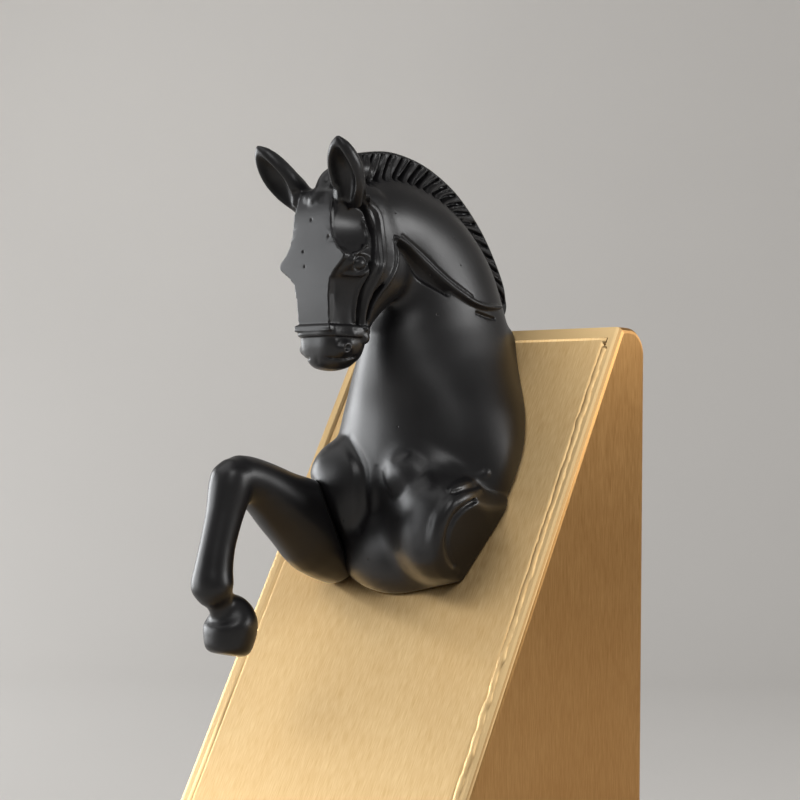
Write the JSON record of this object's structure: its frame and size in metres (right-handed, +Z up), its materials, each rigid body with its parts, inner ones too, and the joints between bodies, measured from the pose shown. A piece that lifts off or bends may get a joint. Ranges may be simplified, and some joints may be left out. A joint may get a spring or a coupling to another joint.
{
  "type": "horse statue",
  "caption": "Bookend statue: a cast horse forequarter with one raised foreleg leaps from the sloping face of a hollow, weighted, brushed metal wedge.",
  "frame": {"origin": "centre of the footprint, on the surface the statue stands on", "axes": "+Z up; the horse faces -Y, out of the sloping face; +Y is the upright back; +X is the side of the folded foreleg, the horse's own left"},
  "size_m": [0.09, 0.1182, 0.2376],
  "materials": {
    "black_patina": "satin black over a cast surface with fine pits",
    "brushed_gold": "vertically brushed, clear lacquered",
    "brushed_gold_panel": "brushed along the slope, clear lacquered",
    "plain_steel": "zinc plated",
    "insert_brass": "machined",
    "cast_iron": "as cast",
    "felt": "pressed felt"
  },
  "bodies": {
    "root": {"horse_body": "black_patina", "raised_foreleg": "black_patina", "foreleg_dowel": "plain_steel", "body_shell": "brushed_gold", "slope_panel": "brushed_gold_panel", "panel_rail_left": "plain_steel", "panel_rail_right": "plain_steel", "stiffener_plate": "plain_steel", "upper_fixing_screw": "plain_steel", "upper_fixing_washer": "plain_steel", "upper_threaded_insert": "insert_brass", "lower_fixing_screw": "plain_steel", "lower_fixing_washer": "plain_steel", "lower_threaded_insert": "insert_brass", "felt_pad": "felt", "base_plate": "plain_steel", "ballast_block": "cast_iron", "ballast_screw_1": "plain_steel", "ballast_screw_2": "plain_steel", "nut_tab_front_left": "plain_steel", "nut_tab_front_right": "plain_steel", "nut_tab_back_left": "plain_steel", "nut_tab_back_right": "plain_steel", "base_screw_front_left": "plain_steel", "base_screw_front_right": "plain_steel", "base_screw_back_left": "plain_steel", "base_screw_back_right": "plain_steel"}
  },
  "joints": []
}
